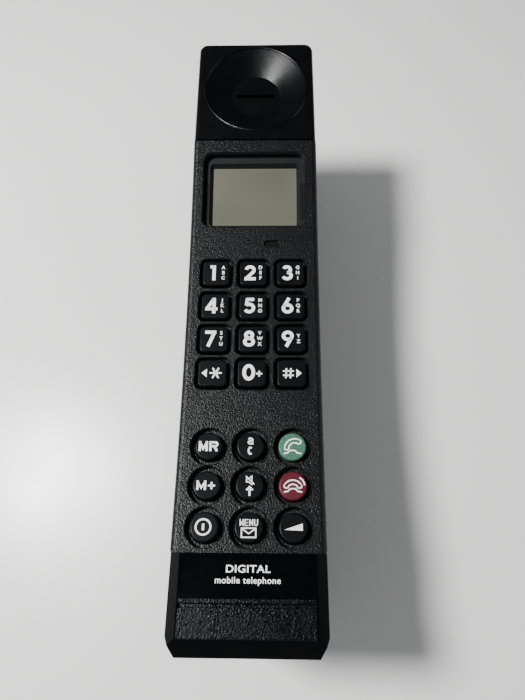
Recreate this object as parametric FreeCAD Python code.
"""Brick-style cellular handset, modelled lying on its back.

x runs across the keypad, y from the mouth end to the ear end and z out of the keypad face.
While a piece is made, y starts a little inside the mouth end; save() moves it so that the origin
is under the middle of the whole length, antenna included. Millimetres throughout.
"""
import FreeCAD, Part
import math
import os

V = FreeCAD.Vector

# Overall size
FOOT_Y = -0.9
EAR_Y = 212.4
END_HALF_WIDTH = 22.25
MIDDLE_HALF_WIDTH = 22.8
MIDDLE_Y = 110.0
ANTENNA_REACH = 58.0
TOTAL_LENGTH = EAR_Y + ANTENNA_REACH - FOOT_Y
FOOT_CUT_X = 2.4
FOOT_CUT_Y = 4.5
EAR_CORNER = 3.5

# Front face seen from the side: a long hollow arc between a raised ear end and a raised mouth end
WAIST_Y = 85.3
WAIST_Z = 73.0
FRONT_RADIUS = 430.0
MOUTH_LINE_Y = 25.65
EAR_STEP_Y = 167.5
EAR_STEP_RISE = 0.8
EAR_SLOPE = math.radians(3.6)
MOUTH_SLOPE = math.radians(7.5)
MOUTH_STEP_DROP = 0.35
BEVEL_TOP_Y = 4.5
BEVEL_DROP = 5.0

# Half a width that clears the whole body, for cutting tools
CLEAR = 30.0

# Shells
WALL = 2.0
KEYPAD_WALL = 3.3
EAR_WALL = 6.4
MOUTH_WALL = 3.0
COVER_INSET = 0.25
SEAM_Z = 52.0
EAR_SPLIT_Z = 68.0
MOUTH_SPLIT_Z = 62.0
EDGE_RADIUS = 1.8
MOUTH_BEVEL = 3.0
BACK_RADIUS = 2.6
GROOVE_WIDTH = 0.45
GROOVE_DEPTH = 0.35

# Keypad
COLUMN_PITCH = 12.85
SQUARE_ROWS = (116.0, 103.8, 91.9, 80.0)
ROUND_ROWS = (56.1, 44.3, 32.5)
SQUARE_KEYS = (
    ("key_1", "key_2", "key_3"),
    ("key_4", "key_5", "key_6"),
    ("key_7", "key_8", "key_9"),
    ("key_star", "key_0", "key_hash"),
)
ROUND_KEYS = (
    ("key_recall", "key_alpha_clear", "key_call"),
    ("key_store", "key_mute", "key_end"),
    ("key_power", "key_menu", "key_volume"),
)
SQUARE_CAP = (9.4, 9.1, 1.5)
SQUARE_WELL = (11.4, 10.9, 2.3)
ROUND_CAP = 4.25
ROUND_WELL = 5.7
WELL_DEPTH = 2.2
WELL_FLARE = 0.25
CAP_PROUD = 0.3
CAP_EDGE = 0.55
KEY_GAP = 0.3
FLANGE_TOP = KEYPAD_WALL + KEY_GAP
FLANGE_THICK = 0.9
FLANGE_LIP = 1.0
STEM_RADIUS = 2.3
STEM_FOOT_Z = 67.3

# Display
WINDOW_Y = 148.35
WINDOW = (37.0, 28.5, 3.2)
WINDOW_RIM = 0.4
WINDOW_GAP = 0.1
LENS_DEPTH = 1.3
LENS_THICK = 1.2
LCD_DEPTH = 4.3
LCD_VIEW = (30.8, 22.8, 0.5)
BEZEL_SLOPE = 1.1
LCD_VIEW_SHIFT = (0.0, -0.7)
LCD_GLASS = (34.0, 26.0, 2.0)
BACKLIGHT_THICK = 1.5
TRAY_WALL = 1.2

# Label field on the mouth cover: width, length, corner, depth and middle
LABEL_FIELD = (37.6, 9.4, 1.6)
LABEL_DEPTH = 0.25
LABEL_Y = 20.1

# Small front features
STATUS_Y = 127.2
STATUS_X = 6.4
STATUS_SLOT = (5.8, 2.7, 1.3)
STATUS_LENS = (5.7, 2.6, 1.25)
STATUS_LENS_DEPTH = 0.8
LED_HALF = (1.6, 0.9)
LED_HEIGHT = 1.4
DISH_Y = 190.7
DISH_RADIUS = 19.0
DISC_RADIUS = 9.2
DISH_DEPTH = 4.6
DISH_LIP = 0.6
DISH_LIP_PROUD = 0.3
EAR_SLOT = (15.2, 1.6)
STRIP_Y = (12.8, 14.1)
STRIP_PROUD = 0.6
PAD_Y = (4.3, 11.9)
MIC_Y = (PAD_Y[1] + STRIP_Y[0]) / 2
MIC_PORT_RADIUS = 0.3
PAD_HALF_WIDTH = 18.8
PAD_PROUD = 0.5
PAD_DEPTH = 1.3
MIC_SLOT_DEPTH = 0.8
INSERT_GAP = 0.05
INSERT_CORNER = 0.5
INSERT_EDGE = 0.2

# Boards
BOARD_THICK = 1.6
LOGIC_TOP_Z = 65.4
RADIO_TOP_Z = 55.6
BOARD_HALF_WIDTH = 19.3
BOARD_Y = (27.0, 164.0)
MAT_THICK = 1.0
DOME_RADIUS = 2.9
DOME_THICK = 0.3
PILLARS = ((-17.0, 68.0), (17.0, 68.0), (-17.0, 129.5), (17.0, 129.5))
PILLAR_RADIUS = 1.6
CHIPS = ((-8, 90, 14, 14), (9, 92, 12, 18), (0, 120, 20, 14), (-9, 145, 10, 16), (9, 145, 10, 10))
CHIP_THICK = 1.8
SHIELD_CANS = ((32.0, 62.0), (72.0, 124.0), (134.0, 160.0))
CAN_HALF_WIDTH = 14.5
CAN_HEIGHT = 9.0
CAN_WALL = 0.4

# Sound pieces
SPEAKER_RADIUS = 13.0
SPEAKER_THICK = 2.5
GASKET_THICK = 1.2
GASKET_HOLE = 10.0
MAGNET_RADIUS = 8.0
MAGNET_THICK = 4.0
BOOT_RADIUS = 4.6
BOOT_DEPTH = 6.0
MIC_RADIUS = 2.98
RINGER_PLACE = (-9.0, 190.6)
RINGER_RADIUS = 8.5

# Battery pack
BATTERY_TOP_Z = 24.2
BATTERY_END_Y = 162.7
BAY_Z = 24.5
BAY_WALL_Y = 163.3
LID_Z = 20.0
CELL_RADIUS = 8.5
CELL_LENGTH = 43.5
RAIL_X = 15.5
RAIL_Y = (12.0, 150.0)
RAIL_STEM = 1.0
RAIL_HEAD = 2.0
RAIL_HEAD_Z = (21.7, 23.0)
RAIL_GAP = 0.3

# Battery latch
LATCH_Y = (142.0, 161.0)
LATCH_HALF = 8.0
LATCH_Z = (1.1, 3.6)
TONGUE_HALF = 5.0
TONGUE_END_Y = 165.0
THUMB_Y = (145.0, 155.5)
COIL_PITCH = 1.5
COIL_LENGTH = 7.5
COIL_RADIUS = 1.5
COIL_WIRE_RADIUS = 0.2

# Screws
SCREW_PLACES = ((-16.2, 20.0), (16.2, 20.0), (-16.2, 171.5), (16.2, 171.5))
POST_RADIUS = 3.6
BOSS_RADIUS = 4.8
SCREW_RADIUS = 1.25
SCREW_HEAD = 2.3
SCREW_HEAD_Z = (44.0, 46.0)
SCREW_TIP_Z = 58.0
CROSS_LENGTH = 3.2
CROSS_WIDTH = 0.6
CROSS_DEPTH = 0.8

# Antenna
ANTENNA_X = 11.0
ANTENNA_Z = 15.0
BUSH_RADIUS = 4.0
BUSH_FLANGE = 5.6
BUSH_FACE_Y = 215.0
SLEEVE_RADIUS = 6.0
SLEEVE_TIP_RADIUS = 4.7

# Ringer vents in the back of the ear end
VENT_Y = 184.0
VENT_PITCH = 3.0
VENT_COUNT = 5

# Accessory socket in the mouth end: depths are behind the inside of the foot wall
SOCKET_HALF = 9.0
SOCKET_Z = (34.0, 42.0)
SOCKET_SHROUD = 2.0
SOCKET_DEPTH = 3.8
SOCKET_BACK = 9.5
SOCKET_TONGUE = (7.5, 1.4)
SOCKET_TONGUE_Z = (37.0, 39.0)
PIN_HALF = 0.35
PIN_TAIL_Z = (37.6, 38.2)
PIN_COUNT = 8
PIN_PITCH = 1.6

# The SIM pocket under the battery
SIM_Y = 120.0
SIM_HOLDER = (18.0, 28.0)
SIM_CARD = (15.0, 25.0)

# Battery terminals across the width
TERMINALS = (-6.0, 0.0, 6.0)

# Finger grooves in the sides of the battery
GRIP_COUNT = 7
GRIP_Y = 112.0
GRIP_PITCH = 3.2
GRIP_WIDTH = 1.4
GRIP_DEPTH = 0.5


def save(shape, name):
    """Write one node with the origin under the middle of the whole length."""
    placed = shape.copy()
    placed.translate(V(0, -FOOT_Y - TOTAL_LENGTH / 2, 0))
    placed.exportStep("parts/" + name + ".step")


def box(x0, x1, y0, y1, z0, z1):
    return Part.makeBox(x1 - x0, y1 - y0, z1 - z0, V(x0, y0, z0))


def centred_box(half_x, y0, y1, z0, z1):
    return box(-half_x, half_x, y0, y1, z0, z1)


def slab(x, y, width, length, z0, z1):
    """A block centred on x, y."""
    return box(x - width / 2, x + width / 2, y - length / 2, y + length / 2, z0, z1)


def post(x, y, radius, z0, z1):
    return Part.makeCylinder(radius, z1 - z0, V(x, y, z0))


def rod_along_y(x, z, radius, y0, y1):
    return Part.makeCylinder(radius, y1 - y0, V(x, y0, z), V(0, 1, 0))


def line(a, b):
    return Part.LineSegment(a, b).toShape()


def arc(a, b, c):
    return Part.Arc(a, b, c).toShape()


def joined(shapes):
    return shapes[0].fuse(shapes[1:]).removeSplitter() if len(shapes) > 1 else shapes[0]


def long_edges(shape, test):
    """Edges whose box passes the test."""
    return [edge for edge in shape.Edges if test(edge.BoundBox)]


def rounded_wire(width, length, radius, z):
    """A rounded rectangle centred on the z axis."""
    x = width / 2
    y = length / 2
    k = radius * (1 - math.sqrt(0.5))
    edges = []
    for sx, sy in ((1, 1), (-1, 1), (-1, -1), (1, -1)):
        side = V(sx * x, sy * (y - radius), z)
        corner = V(sx * (x - k), sy * (y - k), z)
        end = V(sx * (x - radius), sy * y, z)
        ordered = (side, corner, end) if sx == sy else (end, corner, side)
        if edges:
            edges.append(line(edges[-1].valueAt(edges[-1].LastParameter), ordered[0]))
        edges.append(arc(*ordered))
    last = edges[-1].valueAt(edges[-1].LastParameter)
    edges.append(line(last, V(x, y - radius, z)))
    return Part.Wire(Part.__sortEdges__(edges))


def rounded_prism(width, length, radius, z0, z1):
    return Part.Face(rounded_wire(width, length, radius, z0)).extrude(V(0, 0, z1 - z0))


def flare(width, length, radius, grow, z0, z1):
    """A rounded rectangle that widens from z0 to z1, for softened rims and sloping walls."""
    low = rounded_wire(width, length, radius, z0)
    high = rounded_wire(width + 2 * grow, length + 2 * grow, radius + grow, z1)
    return Part.makeLoft([low, high], True, True)


# ---- The outer form -------------------------------------------------------------------------

def arc_z(y):
    return WAIST_Z + FRONT_RADIUS - math.sqrt(FRONT_RADIUS ** 2 - (y - WAIST_Y) ** 2)


def ear_z(y):
    return arc_z(EAR_STEP_Y) + EAR_STEP_RISE + (y - EAR_STEP_Y) * math.tan(EAR_SLOPE)


def mouth_z(y):
    return arc_z(MOUTH_LINE_Y) - MOUTH_STEP_DROP + (MOUTH_LINE_Y - y) * math.tan(MOUTH_SLOPE)


def on_front(shape, y, x=0.0):
    """Seat a shape, made about the origin with z outwards, on the hollow front face at y."""
    seated = shape.copy()
    seated.rotate(V(0, 0, 0), V(1, 0, 0), math.degrees(math.asin((y - WAIST_Y) / FRONT_RADIUS)))
    seated.translate(V(x, y, arc_z(y)))
    return seated


def on_ear(shape, y):
    seated = shape.copy()
    seated.rotate(V(0, 0, 0), V(1, 0, 0), math.degrees(EAR_SLOPE))
    seated.translate(V(0, y, ear_z(y)))
    return seated


def on_mouth(shape, y):
    seated = shape.copy()
    seated.rotate(V(0, 0, 0), V(1, 0, 0), -math.degrees(MOUTH_SLOPE))
    seated.translate(V(0, y, mouth_z(y)))
    return seated


def plan(inset, z0, z1):
    """The outline from above: gently barrelled sides, cut corners at the mouth, round at the ear."""
    half = END_HALF_WIDTH - inset
    foot = FOOT_Y + inset
    top = EAR_Y - inset
    right = [
        line(V(0, foot, z0), V(half - FOOT_CUT_X, foot, z0)),
        line(V(half - FOOT_CUT_X, foot, z0), V(half, FOOT_CUT_Y, z0)),
        arc(V(half, FOOT_CUT_Y, z0), V(MIDDLE_HALF_WIDTH - inset, MIDDLE_Y, z0), V(half, top, z0)),
        line(V(half, top, z0), V(0, top, z0)),
    ]
    left = [edge.mirror(V(0, 0, 0), V(1, 0, 0)) for edge in right]
    wire = Part.Wire(Part.__sortEdges__(right + left))
    prism = Part.Face(wire).extrude(V(0, 0, z1 - z0))
    corners = long_edges(prism, lambda b: b.YMin > top - 0.1 and b.XLength < 0.1 and b.ZLength > 0.1)
    return prism.makeFillet(max(EAR_CORNER - inset, 0.8), corners)


def seam_groove(z):
    """A fine ring cut half into the piece above and half into the piece below a level joint."""
    low = z - GROOVE_WIDTH / 2
    high = z + GROOVE_WIDTH / 2
    return plan(-1, low, high).cut(plan(GROOVE_DEPTH, low - 1, high + 1))


def across(edges):
    """Extrude a closed side profile, drawn at x = 0, across the whole width."""
    face = Part.Face(Part.Wire(edges))
    face.translate(V(-CLEAR, 0, 0))
    return face.extrude(V(2 * CLEAR, 0, 0))


def closed_profile(front, y0, y1, low):
    """Close a front line, which runs from y1 back to y0, down to the level low."""
    high_end = front[0].valueAt(front[0].FirstParameter)
    low_end = front[-1].valueAt(front[-1].LastParameter)
    return [
        line(V(0, y0, low), V(0, y1, low)),
        line(V(0, y1, low), high_end),
        *front,
        line(low_end, V(0, y0, low)),
    ]


def main_block(y0, y1, low, drop, inset):
    middle = (y0 + y1) / 2
    ends = [V(0, y, arc_z(y) - drop) for y in (y1, middle, y0)]
    profile = closed_profile([arc(*ends)], y0, y1, low)
    return across(profile).common(plan(inset, low, 100))


def ear_block(y0, low, drop, inset):
    y1 = EAR_Y - inset
    front = line(V(0, y1, ear_z(y1) - drop), V(0, y0, ear_z(y0) - drop))
    return across(closed_profile([front], y0, y1, low)).common(plan(inset, low, 100))


def mouth_block(y1, low, drop, inset):
    foot = FOOT_Y + inset
    bevel = BEVEL_TOP_Y + 0.45 * drop
    top = V(0, y1, mouth_z(y1) - drop)
    knee = V(0, bevel, mouth_z(bevel) - drop)
    toe = V(0, foot, mouth_z(BEVEL_TOP_Y) - BEVEL_DROP - drop)
    profile = closed_profile([line(top, knee), line(knee, toe)], foot, y1, low)
    return across(profile).common(plan(inset, low, 100))


# ---- Keys -----------------------------------------------------------------------------------

def key_places():
    """Name, shape, column x and row y of every key."""
    found = []
    for rows, names, kind in ((SQUARE_ROWS, SQUARE_KEYS, "square"), (ROUND_ROWS, ROUND_KEYS, "round")):
        for y, row in zip(rows, names):
            for column, name in enumerate(row):
                found.append((name, kind, (column - 1) * COLUMN_PITCH, y))
    return found


def key_column(kind, grow, z0, z1):
    """The cap's outline, grown all round, between two levels."""
    if kind == "round":
        return Part.makeCylinder(ROUND_CAP + grow, z1 - z0, V(0, 0, z0))
    width, length, radius = SQUARE_CAP
    return rounded_prism(width + 2 * grow, length + 2 * grow, radius + grow, z0, z1)


def key_well(kind):
    """The recess round a key, with a softened rim, and the guide hole in its floor."""
    if kind == "round":
        bowl = Part.makeCylinder(ROUND_WELL, WELL_DEPTH + 2, V(0, 0, -WELL_DEPTH))
        slope = 2 * WELL_FLARE
        rim = Part.makeCone(ROUND_WELL, ROUND_WELL + slope, slope, V(0, 0, -WELL_FLARE))
    else:
        width, length, radius = SQUARE_WELL
        bowl = rounded_prism(width, length, radius, -WELL_DEPTH, 2)
        rim = flare(width, length, radius, 2 * WELL_FLARE, -WELL_FLARE, WELL_FLARE)
    guide = key_column(kind, KEY_GAP, -KEYPAD_WALL - 2, 0)
    return bowl.fuse([rim, guide])


def make_key(kind, y):
    """A cap, a flange that keeps it in the housing and a stem towards its contact."""
    cap = key_column(kind, 0, -FLANGE_TOP - 0.1, CAP_PROUD)
    rim = long_edges(cap, lambda b: b.ZMin > CAP_PROUD - 0.01)
    cap = cap.makeFillet(CAP_EDGE, rim)
    flange = key_column(kind, FLANGE_LIP, -FLANGE_TOP - FLANGE_THICK, -FLANGE_TOP)
    stem_length = arc_z(y) - STEM_FOOT_Z
    stem = Part.makeCylinder(STEM_RADIUS, stem_length - FLANGE_TOP, V(0, 0, -stem_length))
    return joined([cap, flange, stem])


def make_keys():
    for name, kind, x, y in key_places():
        save(on_front(make_key(kind, y), y, x), name)


# ---- Front housing and its covers -----------------------------------------------------------

def make_front_housing():
    body = main_block(MOUTH_LINE_Y, EAR_STEP_Y, SEAM_Z, 0, 0)
    sides = long_edges(body, lambda b: b.YLength > 100 and b.ZMin > 60)
    body = body.makeFillet(EDGE_RADIUS, sides)
    mouth_skirt = plan(0, SEAM_Z, MOUTH_SPLIT_Z).common(centred_box(CLEAR, -5, MOUTH_LINE_Y, 0, 100))
    ear_skirt = plan(0, SEAM_Z, EAR_SPLIT_Z).common(centred_box(CLEAR, EAR_STEP_Y, EAR_Y + 1, 0, 100))
    shell = joined([body, mouth_skirt, ear_skirt])
    shell = shell.cut(main_block(FOOT_Y + WALL, EAR_Y - WALL, SEAM_Z - 1, KEYPAD_WALL, WALL))
    bosses = [post(x, y, BOSS_RADIUS, SEAM_Z, SCREW_TIP_Z + 2) for x, y in SCREW_PLACES]
    pillars = [post(x, y, PILLAR_RADIUS, LOGIC_TOP_Z, arc_z(y) - 2) for x, y in PILLARS]
    shell = joined([shell, *bosses, *pillars])
    cuts = [on_front(key_well(kind), y, x) for name, kind, x, y in key_places()]
    cuts += [post(x, y, SCREW_RADIUS + 0.02, SEAM_Z - 1, SCREW_TIP_Z + 0.5) for x, y in SCREW_PLACES]
    width, length, radius = WINDOW
    cuts.append(on_front(rounded_prism(width, length, radius, -KEYPAD_WALL - 3, 3), WINDOW_Y))
    rim = flare(width, length, radius, 2 * WINDOW_RIM, -WINDOW_RIM, WINDOW_RIM)
    cuts.append(on_front(rim, WINDOW_Y))
    slot = rounded_prism(*STATUS_SLOT, -KEYPAD_WALL - 2, 2)
    cuts.append(on_front(slot, STATUS_Y, STATUS_X))
    cuts.append(seam_groove(SEAM_Z))
    cuts.append(seam_groove(MOUTH_SPLIT_Z).common(centred_box(CLEAR, -5, MOUTH_LINE_Y, 0, 100)))
    cuts.append(seam_groove(EAR_SPLIT_Z).common(centred_box(CLEAR, EAR_STEP_Y, 300, 0, 100)))
    lip = main_block(MOUTH_LINE_Y - 1, MOUTH_LINE_Y + GROOVE_WIDTH, MOUTH_SPLIT_Z, -2, -1)
    cuts.append(lip.cut(main_block(0, 60, SEAM_Z, GROOVE_DEPTH, GROOVE_DEPTH)))
    save(shell.cut(cuts), "front_housing")


def make_earpiece_cover():
    outer = ear_block(EAR_STEP_Y, EAR_SPLIT_Z, 0, COVER_INSET)
    sides = long_edges(outer, lambda b: b.ZMin > EAR_SPLIT_Z + 5 and b.YLength > 20)
    ends = long_edges(outer, lambda b: b.ZMin > EAR_SPLIT_Z + 5 and b.YMin > EAR_Y - 5)
    outer = outer.makeFillet(EDGE_RADIUS, sides + ends)
    hollow = ear_block(EAR_STEP_Y - 1, EAR_SPLIT_Z - 1, EAR_WALL, WALL)
    cone = Part.makeCone(DISC_RADIUS, DISH_RADIUS, DISH_DEPTH, V(0, 0, -DISH_DEPTH))
    mouth = Part.makeCylinder(DISH_RADIUS, 3)
    slot = rounded_prism(EAR_SLOT[0], EAR_SLOT[1], 0.6, -EAR_WALL - 1, 0)
    shell = outer.cut([hollow, on_ear(joined([cone, mouth]), DISH_Y), on_ear(slot, DISH_Y)])
    lip = Part.makeTorus(DISH_RADIUS + 0.2, DISH_LIP, V(0, 0, DISH_LIP_PROUD - DISH_LIP))
    save(shell.fuse(on_ear(lip, DISH_Y)), "earpiece_cover")


def make_mouthpiece_cover():
    outer = mouth_block(MOUTH_LINE_Y, MOUTH_SPLIT_Z, 0, 0)
    sides = long_edges(outer, lambda b: b.ZMin > mouth_z(MOUTH_LINE_Y) - 1 and b.YLength > 15)
    outer = outer.makeChamfer(MOUTH_BEVEL, sides)
    hollow = mouth_block(MOUTH_LINE_Y + 1, MOUTH_SPLIT_Z - 1, MOUTH_WALL, WALL)
    label = on_mouth(rounded_prism(*LABEL_FIELD, -LABEL_DEPTH, 2), LABEL_Y)
    port = Part.makeCylinder(MIC_PORT_RADIUS, 6, V(0, 0, -5))
    pocket = insert_block(INSERT_GAP, PAD_Y[0], STRIP_Y[1], -PAD_DEPTH, 3)
    save(outer.cut([hollow, label, on_mouth(port, MIC_Y), pocket]), "mouthpiece_cover")


def insert_block(grow, y0, y1, z0, z1):
    """A level-topped block of the textured insert, seated on the sloping mouth face."""
    width = 2 * (PAD_HALF_WIDTH + grow)
    block = rounded_prism(width, y1 - y0 + 2 * grow, INSERT_CORNER, z0, z1)
    return on_mouth(block, (y0 + y1) / 2)


def make_grain_pad():
    """One textured insert: a pad and a narrow bar, with the microphone slot sunk between them."""
    web = insert_block(0, PAD_Y[0], STRIP_Y[1], -PAD_DEPTH, -MIC_SLOT_DEPTH)
    width = 2 * PAD_HALF_WIDTH
    pieces = [web]
    for (y0, y1), proud in ((PAD_Y, PAD_PROUD), (STRIP_Y, STRIP_PROUD)):
        block = rounded_prism(width, y1 - y0, INSERT_CORNER, -PAD_DEPTH, proud)
        rim = long_edges(block, lambda b: b.ZMin > proud - 0.01)
        pieces.append(on_mouth(block.makeFillet(INSERT_EDGE, rim), (y0 + y1) / 2))
    port = Part.makeCylinder(MIC_PORT_RADIUS, 6, V(0, 0, -5))
    save(joined(pieces).cut(on_mouth(port, MIC_Y)), "grain_pad")


# ---- Rear housing ---------------------------------------------------------------------------

def t_rail(x, grow, y0, y1, top):
    """A rail with a stem and a wider head, hanging from the level top."""
    head0, head1 = RAIL_HEAD_Z
    stem = box(x - RAIL_STEM - grow, x + RAIL_STEM + grow, y0, y1, head1, top)
    head = box(x - RAIL_HEAD - grow, x + RAIL_HEAD + grow, y0, y1, head0 - grow, head1 + grow)
    return stem.fuse(head)


def make_rear_housing():
    outer = plan(0, 0, SEAM_Z)
    back = long_edges(outer, lambda b: b.ZMax < 0.01)
    outer = outer.makeFillet(BACK_RADIUS, [e for e in back if e.BoundBox.YMax > FOOT_CUT_Y + 1])
    outer = outer.cut(centred_box(CLEAR, -5, BAY_WALL_Y, -1, BAY_Z))
    low_hollow = plan(WALL, WALL, SEAM_Z + 1).common(centred_box(CLEAR, BAY_WALL_Y + WALL, 300, 0, 100))
    high_hollow = plan(WALL, BAY_Z + WALL, SEAM_Z + 1)
    shell = outer.cut([low_hollow, high_hollow])
    posts = []
    cuts = []
    for x, y in SCREW_PLACES:
        foot = BAY_Z + 0.5 if y < BAY_WALL_Y else 0.5
        posts.append(post(x, y, POST_RADIUS, foot, SEAM_Z))
        cuts.append(post(x, y, SCREW_HEAD + 0.2, -1, SCREW_HEAD_Z[1]))
        cuts.append(post(x, y, SCREW_RADIUS + 0.1, 0, SEAM_Z + 1))
    rests = [post(x, y, 2.0, BAY_Z + 1, RADIO_TOP_Z - BOARD_THICK) for x, y in PILLARS]
    sim_pad = slab(0, SIM_Y, 21.0, 31.0, BAY_Z + 1, BAY_Z + 3.5)
    rails = [t_rail(side * RAIL_X, 0, RAIL_Y[0], RAIL_Y[1], BAY_Z + 0.5) for side in (-1, 1)]
    shell = joined([shell, *posts, *rests, sim_pad, *rails])
    width, length = SIM_HOLDER
    cuts.append(slab(0, SIM_Y, width + 0.2, length + 0.2, BAY_Z - 0.1, BAY_Z + 2.0))
    cuts.append(centred_box(TONGUE_HALF + 0.6, BAY_WALL_Y - 1, BAY_WALL_Y + WALL + 1, 1.2, 3.8))
    cuts.append(rod_along_y(ANTENNA_X, ANTENNA_Z, BUSH_RADIUS + 0.05, EAR_Y - 5, EAR_Y + 1))
    cuts.append(centred_box(SOCKET_HALF, FOOT_Y - 1, FOOT_Y + WALL + 0.5, *SOCKET_Z))
    for vent in range(VENT_COUNT):
        y = VENT_Y + VENT_PITCH * vent
        cuts.append(box(-14.0, -4.0, y, y + 1.2, -1, WALL + 1))
    for x in TERMINALS:
        cuts.append(box(x - 1.3, x + 1.3, BAY_WALL_Y - 1, BAY_WALL_Y + WALL + 1, 10.0, 16.0))
    cuts.append(seam_groove(SEAM_Z))
    save(shell.cut(cuts), "rear_housing")


# ---- Display --------------------------------------------------------------------------------

def make_display():
    width, length, radius = WINDOW
    fitted = (width - 2 * WINDOW_GAP, length - 2 * WINDOW_GAP, radius - WINDOW_GAP)
    low = -LCD_DEPTH
    high = -LENS_DEPTH - LENS_THICK
    save(on_front(rounded_prism(*fitted, high, -LENS_DEPTH), WINDOW_Y), "display_window")
    frame = rounded_prism(*fitted, low, high)
    view = flare(*LCD_VIEW, BEZEL_SLOPE, low - 0.01, high + 0.01)
    view.translate(V(LCD_VIEW_SHIFT[0], LCD_VIEW_SHIFT[1], 0))
    save(on_front(frame.cut(view), WINDOW_Y), "display_bezel")
    glass_w, glass_l, glass_t = LCD_GLASS
    panel = rounded_prism(glass_w, glass_l, 0.3, low - glass_t, low)
    save(on_front(panel, WINDOW_Y), "lcd_panel")
    light_low = low - glass_t - BACKLIGHT_THICK
    light = rounded_prism(glass_w, glass_l, 0.6, light_low, low - glass_t)
    save(on_front(light, WINDOW_Y), "lcd_backlight")
    rim = 2 * TRAY_WALL
    tray = rounded_prism(glass_w + rim, glass_l + rim, 1.0, -20, low)
    pocket = rounded_prism(glass_w + 0.1, glass_l + 0.1, 0.3, light_low, 2)
    under = rounded_prism(glass_w - 2, glass_l - 2, 1.0, -21, light_low - TRAY_WALL)
    holder = on_front(tray.cut([pocket, under]), WINDOW_Y)
    save(holder.common(centred_box(CLEAR, 100, 200, LOGIC_TOP_Z, 100)), "lcd_holder")


def make_status_light():
    lens = rounded_prism(*STATUS_LENS, -KEYPAD_WALL - 0.5, -STATUS_LENS_DEPTH)
    save(on_front(lens, STATUS_Y, STATUS_X), "status_lens")
    x, y = LED_HALF
    led = centred_box(x, STATUS_Y - y, STATUS_Y + y, LOGIC_TOP_Z, LOGIC_TOP_Z + LED_HEIGHT)
    led.translate(V(STATUS_X, 0, 0))
    save(led, "status_led")


# ---- Boards and what is on them -------------------------------------------------------------

def board(y0, y1, top):
    return centred_box(BOARD_HALF_WIDTH, y0, y1, top - BOARD_THICK, top)


def make_boards():
    save(board(BOARD_Y[0], BOARD_Y[1], LOGIC_TOP_Z), "logic_board")
    save(board(BOARD_Y[0], BOARD_Y[1], RADIO_TOP_Z), "radio_board")
    mat_y1 = WINDOW_Y - LCD_GLASS[1] / 2 - 3
    mat = centred_box(BOARD_HALF_WIDTH, BOARD_Y[0], mat_y1, LOGIC_TOP_Z, LOGIC_TOP_Z + MAT_THICK)
    holes = [post(x, y, DOME_RADIUS + 0.7, 60, 70) for name, kind, x, y in key_places()]
    holes += [post(x, y, PILLAR_RADIUS + 0.3, 60, 70) for x, y in PILLARS]
    holes.append(post(STATUS_X, STATUS_Y, 2.4, 60, 70))
    save(mat.cut(holes), "keypad_mat")
    domes = [
        Part.makeCone(DOME_RADIUS, DOME_RADIUS - 0.8, DOME_THICK, V(x, y, LOGIC_TOP_Z))
        for name, kind, x, y in key_places()
    ]
    save(Part.Compound(domes), "dome_contacts")
    under = LOGIC_TOP_Z - BOARD_THICK
    chips = [slab(x, y, w, l, under - CHIP_THICK, under) for x, y, w, l in CHIPS]
    save(Part.Compound(chips), "logic_chips")
    save(centred_box(13, 52, 57, RADIO_TOP_Z, under), "board_connector")
    top = RADIO_TOP_Z - BOARD_THICK
    cans = []
    for y0, y1 in SHIELD_CANS:
        can = centred_box(CAN_HALF_WIDTH, y0, y1, top - CAN_HEIGHT, top)
        half = CAN_HALF_WIDTH - CAN_WALL
        inside = centred_box(half, y0 + CAN_WALL, y1 - CAN_WALL, top - CAN_HEIGHT + CAN_WALL, top + 1)
        cans.append(can.cut(inside))
    save(Part.Compound(cans), "shield_cans")


def disc(radius, z0, z1):
    return Part.makeCylinder(radius, z1 - z0, V(0, 0, z0))


def make_sound_pieces():
    seat = -EAR_WALL
    gasket = disc(SPEAKER_RADIUS, seat - GASKET_THICK, seat).cut(disc(GASKET_HOLE, seat - 2, seat + 2))
    save(on_ear(gasket, DISH_Y), "earpiece_gasket")
    face = seat - GASKET_THICK
    basket = disc(SPEAKER_RADIUS, face - SPEAKER_THICK, face)
    magnet = disc(MAGNET_RADIUS, face - SPEAKER_THICK - MAGNET_THICK, face - SPEAKER_THICK)
    save(on_ear(joined([basket, magnet]), DISH_Y), "earpiece_speaker")
    under = -MOUTH_WALL
    boot = disc(BOOT_RADIUS, under - BOOT_DEPTH, under)
    boot = boot.cut([disc(MIC_RADIUS + 0.02, under - BOOT_DEPTH - 0.1, under - 1.1), disc(0.9, -9, 0)])
    save(on_mouth(boot, MIC_Y), "microphone_boot")
    save(on_mouth(disc(MIC_RADIUS, under - 5.0, under - 1.4), MIC_Y), "microphone")
    x, y = RINGER_PLACE
    ringer = post(x, y, RINGER_RADIUS, WALL, WALL + 5)
    save(ringer.cut(post(x, y, RINGER_RADIUS - 1, WALL - 1, WALL + 1.5)), "ringer")


# ---- Antenna, connectors and screws ---------------------------------------------------------

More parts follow.
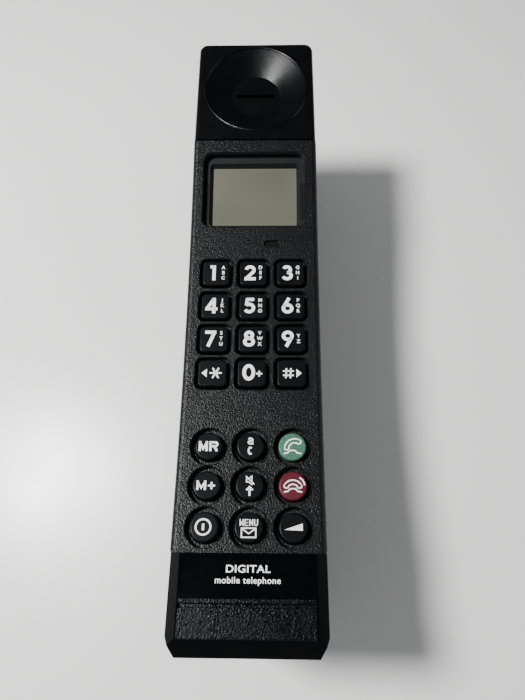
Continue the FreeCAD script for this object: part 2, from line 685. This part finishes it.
def make_antenna():
    bush = rod_along_y(ANTENNA_X, ANTENNA_Z, BUSH_RADIUS, EAR_Y - 6, BUSH_FACE_Y)
    flange = rod_along_y(ANTENNA_X, ANTENNA_Z, BUSH_FLANGE, EAR_Y, BUSH_FACE_Y)
    save(joined([bush, flange]), "antenna_base")
    tip = EAR_Y + ANTENNA_REACH
    length = tip - BUSH_FACE_Y
    axis = V(0, 1, 0)
    foot = V(ANTENNA_X, BUSH_FACE_Y, ANTENNA_Z)
    sleeve = Part.makeCone(SLEEVE_RADIUS, SLEEVE_TIP_RADIUS, length, foot, axis)
    ends = long_edges(sleeve, lambda b: b.YMin > tip - 0.01)
    sleeve = sleeve.makeFillet(SLEEVE_TIP_RADIUS - 0.7, ends)
    grooves = []
    for ring in range(5):
        y = BUSH_FACE_Y + 3.0 + 2.4 * ring
        band = rod_along_y(ANTENNA_X, ANTENNA_Z, SLEEVE_RADIUS + 2, y, y + 0.9)
        grooves.append(band.cut(rod_along_y(ANTENNA_X, ANTENNA_Z, SLEEVE_RADIUS - 0.9, y - 1, y + 2)))
    save(sleeve.cut(grooves), "antenna_sleeve")
    leaf = box(ANTENNA_X - 2, ANTENNA_X + 2, 196.0, EAR_Y - 6, ANTENNA_Z - 0.3, ANTENNA_Z + 0.1)
    foot = box(ANTENNA_X - 2, ANTENNA_X + 2, 195.6, 196.0, ANTENNA_Z - 0.3, 40.0)
    save(joined([leaf, foot]), "antenna_contact")


def make_accessory_connector():
    """A shrouded socket behind the hole in the foot, with its contacts on a short tongue."""
    face = FOOT_Y + WALL
    floor = face + SOCKET_DEPTH
    back = face + SOCKET_BACK
    low, high = SOCKET_Z
    tongue_half, proud = SOCKET_TONGUE
    width = SOCKET_HALF + SOCKET_SHROUD
    block = centred_box(width, face + 0.02, back, low - SOCKET_SHROUD, high + SOCKET_SHROUD)
    well = centred_box(SOCKET_HALF, face - 1, floor, low, high)
    tongue = centred_box(tongue_half, floor - proud, floor + 0.1, *SOCKET_TONGUE_Z)
    save(joined([block.cut(well), tongue]), "accessory_connector")
    top = SOCKET_TONGUE_Z[1]
    pins = []
    for pin in range(PIN_COUNT):
        x = PIN_PITCH * (pin - (PIN_COUNT - 1) / 2)
        pins.append(box(x - PIN_HALF, x + PIN_HALF, floor - 1.2, floor, top, top + 0.15))
        pins.append(box(x - PIN_HALF, x + PIN_HALF, back, back + 3.0, *PIN_TAIL_Z))
    save(Part.Compound(pins), "connector_pins")


def make_sim():
    width, length = SIM_HOLDER
    holder = slab(0, SIM_Y, width, length, BAY_Z + 0.3, BAY_Z + 1.98)
    card_w, card_l = SIM_CARD
    pocket = slab(0, SIM_Y, card_w + 0.2, card_l + 0.2, BAY_Z + 0.7, BAY_Z + 1.5)
    window = slab(0, SIM_Y, 12.4, 18.0, BAY_Z, BAY_Z + 1)
    save(holder.cut([pocket, window]), "sim_holder")
    save(slab(0, SIM_Y, card_w, card_l, BAY_Z + 0.72, BAY_Z + 1.48), "sim_card")


def make_screws():
    screws = []
    for x, y in SCREW_PLACES:
        head = post(x, y, SCREW_HEAD, *SCREW_HEAD_Z)
        low = SCREW_HEAD_Z[0] - 1
        high = SCREW_HEAD_Z[0] + CROSS_DEPTH
        slot = slab(x, y, CROSS_LENGTH, CROSS_WIDTH, low, high)
        cross = slab(x, y, CROSS_WIDTH, CROSS_LENGTH, low, high)
        shank = post(x, y, SCREW_RADIUS, SCREW_HEAD_Z[1], SCREW_TIP_Z)
        screws.append(joined([head.cut([slot, cross]), shank]))
    save(Part.Compound(screws), "housing_screws")


def make_battery_terminals():
    blades = []
    for x in TERMINALS:
        blades.append(box(x - 1.2, x + 1.2, BATTERY_END_Y + 0.3, BAY_WALL_Y + WALL + 2, 10.5, 15.5))
    save(Part.Compound(blades), "battery_terminals")


# ---- Battery pack ---------------------------------------------------------------------------

def battery_block(z0, z1):
    return plan(0, z0, z1).common(centred_box(CLEAR, -5, BATTERY_END_Y, -1, 100))


def make_battery_case():
    outer = battery_block(0, LID_Z)
    back = long_edges(outer, lambda b: b.ZMax < 0.01 and b.YMin < BATTERY_END_Y - 1)
    outer = outer.makeFillet(BACK_RADIUS, back)
    hollow = plan(WALL, WALL, LID_Z + 1).common(centred_box(CLEAR, 0, 138.0, 0, 100))
    low, high = LATCH_Z
    pocket = centred_box(LATCH_HALF + 0.4, 139.2, BATTERY_END_Y + 1, low - 0.3, high + 0.3)
    spring_room = centred_box(2.6, 139.2, BATTERY_END_Y + 1, high, high + 4.4)
    window = centred_box(6.0, THUMB_Y[0] - 2.8, THUMB_Y[1] + 0.5, -1, low)
    cuts = [hollow, pocket, spring_room, window]
    for x in TERMINALS:
        cuts.append(box(x - 1.6, x + 1.6, BATTERY_END_Y - 0.6, BATTERY_END_Y + 1, 10.0, 16.0))
    side = MIDDLE_HALF_WIDTH - 0.1 - GRIP_DEPTH
    for groove in range(GRIP_COUNT):
        y = GRIP_Y + GRIP_PITCH * groove
        cuts.append(box(side, CLEAR, y, y + GRIP_WIDTH, 5.0, 17.0))
        cuts.append(box(-CLEAR, -side, y, y + GRIP_WIDTH, 5.0, 17.0))
    cuts.append(seam_groove(LID_Z))
    save(outer.cut(cuts), "battery_case")


def make_battery_lid():
    lid = battery_block(LID_Z, BATTERY_TOP_Z)
    slots = [
        t_rail(side * RAIL_X, RAIL_GAP, RAIL_Y[0] - 0.6, BATTERY_END_Y + 1, BATTERY_TOP_Z + 1)
        for side in (-1, 1)
    ]
    save(lid.cut([*slots, seam_groove(LID_Z)]), "battery_lid")


def make_cells():
    cells = []
    straps = []
    for side in (-1, 1):
        x = side * (CELL_RADIUS + 0.3)
        for place in range(3):
            y = 3.0 + place * (CELL_LENGTH + 1.2)
            body = rod_along_y(x, WALL + CELL_RADIUS + 0.05, CELL_RADIUS, y, y + CELL_LENGTH - 1)
            cap = rod_along_y(x, WALL + CELL_RADIUS + 0.05, 3.0, y + CELL_LENGTH - 1, y + CELL_LENGTH)
            cells.append(joined([body, cap]))
            end = y + CELL_LENGTH
            straps.append(box(x - 2.5, x + 2.5, end, end + 0.2, 5.0, 16.0))
    save(Part.Compound(cells), "battery_cells")
    for x in TERMINALS:
        straps.append(box(x - 1.5, x + 1.5, BATTERY_END_Y - 0.5, BATTERY_END_Y - 0.05, 10.2, 15.8))
    save(Part.Compound(straps), "battery_contacts")


def make_latch():
    low, high = LATCH_Z
    plate = centred_box(LATCH_HALF, LATCH_Y[0], LATCH_Y[1], low, high)
    tongue = centred_box(TONGUE_HALF, LATCH_Y[1] - 1, TONGUE_END_Y, 1.6, 3.2)
    thumb = centred_box(5.5, THUMB_Y[0], THUMB_Y[1], 0.35, low + 0.5)
    lug = centred_box(1.8, 152.0, 154.0, high - 0.5, high + 3.4)
    slider = joined([plate, tongue, thumb, lug])
    ridges = [centred_box(4.6, y, y + 0.9, -1, 0.8) for y in (146.6, 148.6, 150.6, 152.6)]
    save(slider.cut(ridges), "battery_latch")
    coil = Part.makeHelix(COIL_PITCH, COIL_LENGTH, COIL_RADIUS)
    section = Part.Wire(Part.makeCircle(COIL_WIRE_RADIUS, V(COIL_RADIUS, 0, 0), V(0, 1, 0)))
    spring = Part.Wire(coil).makePipeShell([section], True, True)
    spring.rotate(V(0, 0, 0), V(1, 0, 0), -90)
    spring.translate(V(0, 140.0, high + 2.2))
    save(spring, "latch_spring")


def main():
    os.makedirs("parts", exist_ok=True)
    make_front_housing()
    make_earpiece_cover()
    make_mouthpiece_cover()
    make_grain_pad()
    make_rear_housing()
    make_display()
    make_status_light()
    make_keys()
    make_boards()
    make_sound_pieces()
    make_antenna()
    make_accessory_connector()
    make_sim()
    make_screws()
    make_battery_terminals()
    make_battery_case()
    make_battery_lid()
    make_cells()
    make_latch()


main()
